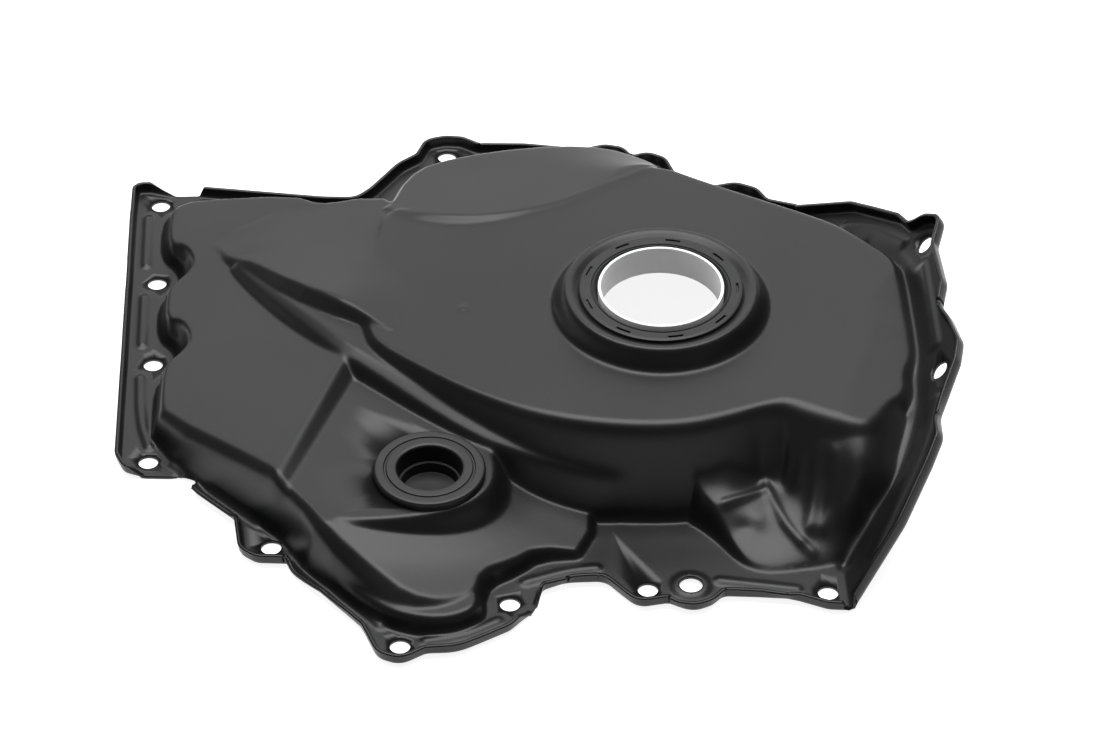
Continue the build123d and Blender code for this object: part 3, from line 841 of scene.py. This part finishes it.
def soften(profile, radius, steps=3):
    """Small rounds at the corners of a closed r, z profile, except on its axis."""
    out = []
    count = len(profile)
    for i in range(count):
        p = np.array(profile[i], float)
        a = np.array(profile[i - 1], float) - p
        b = np.array(profile[(i + 1) % count], float) - p
        la = np.linalg.norm(a)
        lb = np.linalg.norm(b)
        cosine = float(a @ b) / max(la * lb, 1e-9)
        if p[0] <= 1e-6 or cosine < -0.985:
            out.append(tuple(p))
            continue
        cut = min(radius, 0.4 * la, 0.4 * lb)
        s = p + a / la * cut
        e = p + b / lb * cut
        for k in range(steps + 1):
            t = k / steps
            out.append(tuple((1 - t) ** 2 * s + 2 * t * (1 - t) * p + t * t * e))
    return out


def finish_piece(obj, mat, node):
    """Gives a piece its material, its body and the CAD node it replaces."""
    obj.data.materials.clear()
    obj.data.materials.append(mat)
    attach(obj, "root")
    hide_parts(node)


cover = build_cover()
finish_piece(cover, paint, "cover_pressing")

seal_bottom = 40.5
case_r = 31.8
case_top = 46.4

case = lathe(
    "seal_case_shape",
    soften([
        (27.6, case_top - 1.0), (case_r - 1.0, case_top - 1.0), (case_r - 1.0, seal_bottom),
        (case_r, seal_bottom), (case_r, case_top), (27.6, case_top),
    ], 0.15),
)
finish_piece(case, steel, "seal_case")

lip = lathe(
    "seal_lip_shape",
    soften([
        (25.55, 38.5), (26.45, 38.5), (26.45, 43.8), (27.15, 44.5), (30.8, 44.5), (30.8, 45.4),
        (27.5, 45.4), (26.25, 45.4), (25.55, 44.5),
    ], 0.15),
)
finish_piece(lip, lip_rubber, "seal_lip")

sleeve = lathe(
    "assembly_sleeve_shape",
    soften([
        (24.2, 36.0), (24.9, 36.0), (25.4, 37.5), (25.4, 49.0), (24.2, 49.0),
    ], 0.3),
)
finish_piece(sleeve, white, "assembly_sleeve")


def jacket_mesh():
    """Rubber jacket of the seal, with its nine slots and the shallow rings round its mouth."""
    turns = 432
    face = [
        (seal_bore_r, 47.4), (32.85, 47.85), (32.35, 48.1), (31.6, 48.2), (31.35, 48.2), (31.2, 48.2),
        (30.4, 48.2), (30.25, 48.2), (30.0, 48.2), (28.6, 48.2), (28.3, 48.15), (28.0, 47.75),
        (27.75, 47.75), (27.5, 48.1), (27.2, 48.1), (26.75, 47.7), (26.4, 47.2),
    ]
    rear = [
        (26.4, 45.9), (27.6, 45.4), (27.6, case_top), (case_r, case_top), (case_r, seal_bottom),
        (32.6, seal_bottom), (seal_bore_r, 40.9),
    ]
    slot_pitch = math.radians(40)
    slot_first = math.radians(-2.4)
    slot_half = math.radians(5.3)
    slot_flank = math.radians(0.9)
    slot_depth = 0.85
    verts = []
    for k in range(turns):
        a = 2 * math.pi * k / turns
        offset = (a - slot_first + slot_pitch / 2) % slot_pitch - slot_pitch / 2
        depth = slot_depth * float(smooth_step((slot_half - abs(offset)) / slot_flank + 0.5))
        for r, z in face:
            down = depth if 30.3 < r < 31.3 else 0
            verts.append((r * math.cos(a), r * math.sin(a), z - down))
        for r, z in rear:
            verts.append((r * math.cos(a), r * math.sin(a), z))
    n = len(face) + len(rear)
    faces = []
    for k in range(turns):
        k2 = (k + 1) % turns
        for i in range(n):
            j = (i + 1) % n
            faces.append((k * n + j, k2 * n + j, k2 * n + i, k * n + i))
    verts = [(x * mm, y * mm, z * mm) for x, y, z in verts]
    return close_mesh(make_mesh("seal_jacket_shape", verts, faces), 40)


jacket = jacket_mesh()
finish_piece(jacket, rubber, "seal_jacket")

plug_top = 26.5
plug = lathe(
    "access_plug_shape",
    soften([
        (0, 12.0), (14.2, 12.0), (15.3, 13.1), (15.3, 16.2), (18.3, 20.0), (18.3, 21.2),
        (16.7, 21.2), (16.7, 23.0), (22.0, 23.0), (22.0, 25.6), (21.4, 26.3), (20.6, plug_top),
        (18.1, plug_top), (17.9, 25.9), (17.1, 25.9), (16.9, plug_top), (14.2, plug_top),
        (13.2, 26.2), (12.8, 25.5), (12.4, 18.5), (11.4, 18.5), (11.0, 14.0), (0, 14.0),
    ], 0.3),
    plug_centre,
)
finish_piece(plug, rubber, "access_plug")

# floor, lights, world
# the floor shines only for the camera and for reflected and transmitted rays; else it is a plain grey
floor_mesh = bpy.data.meshes.new("floor")
floor_mesh.from_pydata([(-8, -8, 0), (8, -8, 0), (8, 8, 0), (-8, 8, 0)], [], [(0, 1, 2, 3)])
floor = bpy.data.objects.new("floor", floor_mesh)
bpy.context.scene.collection.objects.link(floor)
# just under the gasket face, so that the two don't share a plane
floor.location.z = -0.0003
floor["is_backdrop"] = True
floor_mat, tree, shader = material("floor_white")
shader.inputs["Base Color"].default_value = (0.62, 0.62, 0.62, 1)
shader.inputs["Roughness"].default_value = 0.9
shader.inputs["Specular IOR Level"].default_value = 0.0
shader.inputs["Emission Color"].default_value = (1, 1, 1, 1)
path = tree.nodes.new("ShaderNodeLightPath")
seen = path.outputs["Is Camera Ray"]
for ray in ("Is Glossy Ray", "Is Transmission Ray"):
    either = tree.nodes.new("ShaderNodeMath")
    either.operation = "MAXIMUM"
    tree.links.new(seen, either.inputs[0])
    tree.links.new(path.outputs[ray], either.inputs[1])
    seen = either.outputs[0]
share = tree.nodes.new("ShaderNodeMath")
share.operation = "MULTIPLY"
share.inputs[1].default_value = 0.88
tree.links.new(seen, share.inputs[0])
tree.links.new(share.outputs[0], shader.inputs["Emission Strength"])
floor_mesh.materials.append(floor_mat)


def area(name, place, target, size_x, size_y, power):
    """Rectangular lamp that points at a place."""
    lamp = bpy.data.lights.new(name, "AREA")
    lamp.shape = "RECTANGLE"
    lamp.size = size_x
    lamp.size_y = size_y
    lamp.energy = power
    obj = bpy.data.objects.new(name, lamp)
    bpy.context.scene.collection.objects.link(obj)
    obj.location = place
    way = Vector(target) - Vector(place)
    obj.rotation_euler = way.to_track_quat("-Z", "Y").to_euler()


middle = (-0.05, 0.0, 0.0)
area("overhead_softbox", (-0.05, 0.35, 1.6), middle, 1.7, 1.1, 46)
area("rear_softbox", (0.0, 1.9, 1.1), middle, 2.6, 1.4, 21)

world = bpy.data.worlds.new("studio")
bpy.context.scene.world = world
world.use_nodes = True
world.node_tree.nodes["Background"].inputs["Color"].default_value = (1, 1, 1, 1)
world.node_tree.nodes["Background"].inputs["Strength"].default_value = 0.12

# camera, in metres
focal_length = 137.5
camera_place = (-0.09552, -1.31669, 1.12763)
camera_data = bpy.data.cameras.new("camera")
camera_data.lens = focal_length
camera_data.sensor_width = 36.0
camera = bpy.data.objects.new("camera", camera_data)
bpy.context.scene.collection.objects.link(camera)
elevation = math.radians(40.4)
azimuth = math.radians(-2.3)
back = Vector((
    math.sin(azimuth) * math.cos(elevation),
    -math.cos(azimuth) * math.cos(elevation),
    math.sin(elevation),
))
right = Vector((math.cos(azimuth), math.sin(azimuth), 0))
up = back.cross(right)
turn = Matrix((right, up, back)).transposed().to_4x4()
camera.matrix_world = Matrix.Translation(camera_place) @ turn
camera_data.clip_end = 50
bpy.context.scene.camera = camera

bpy.context.scene.view_settings.view_transform = "Standard"

sizes["shown"] = plain(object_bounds())
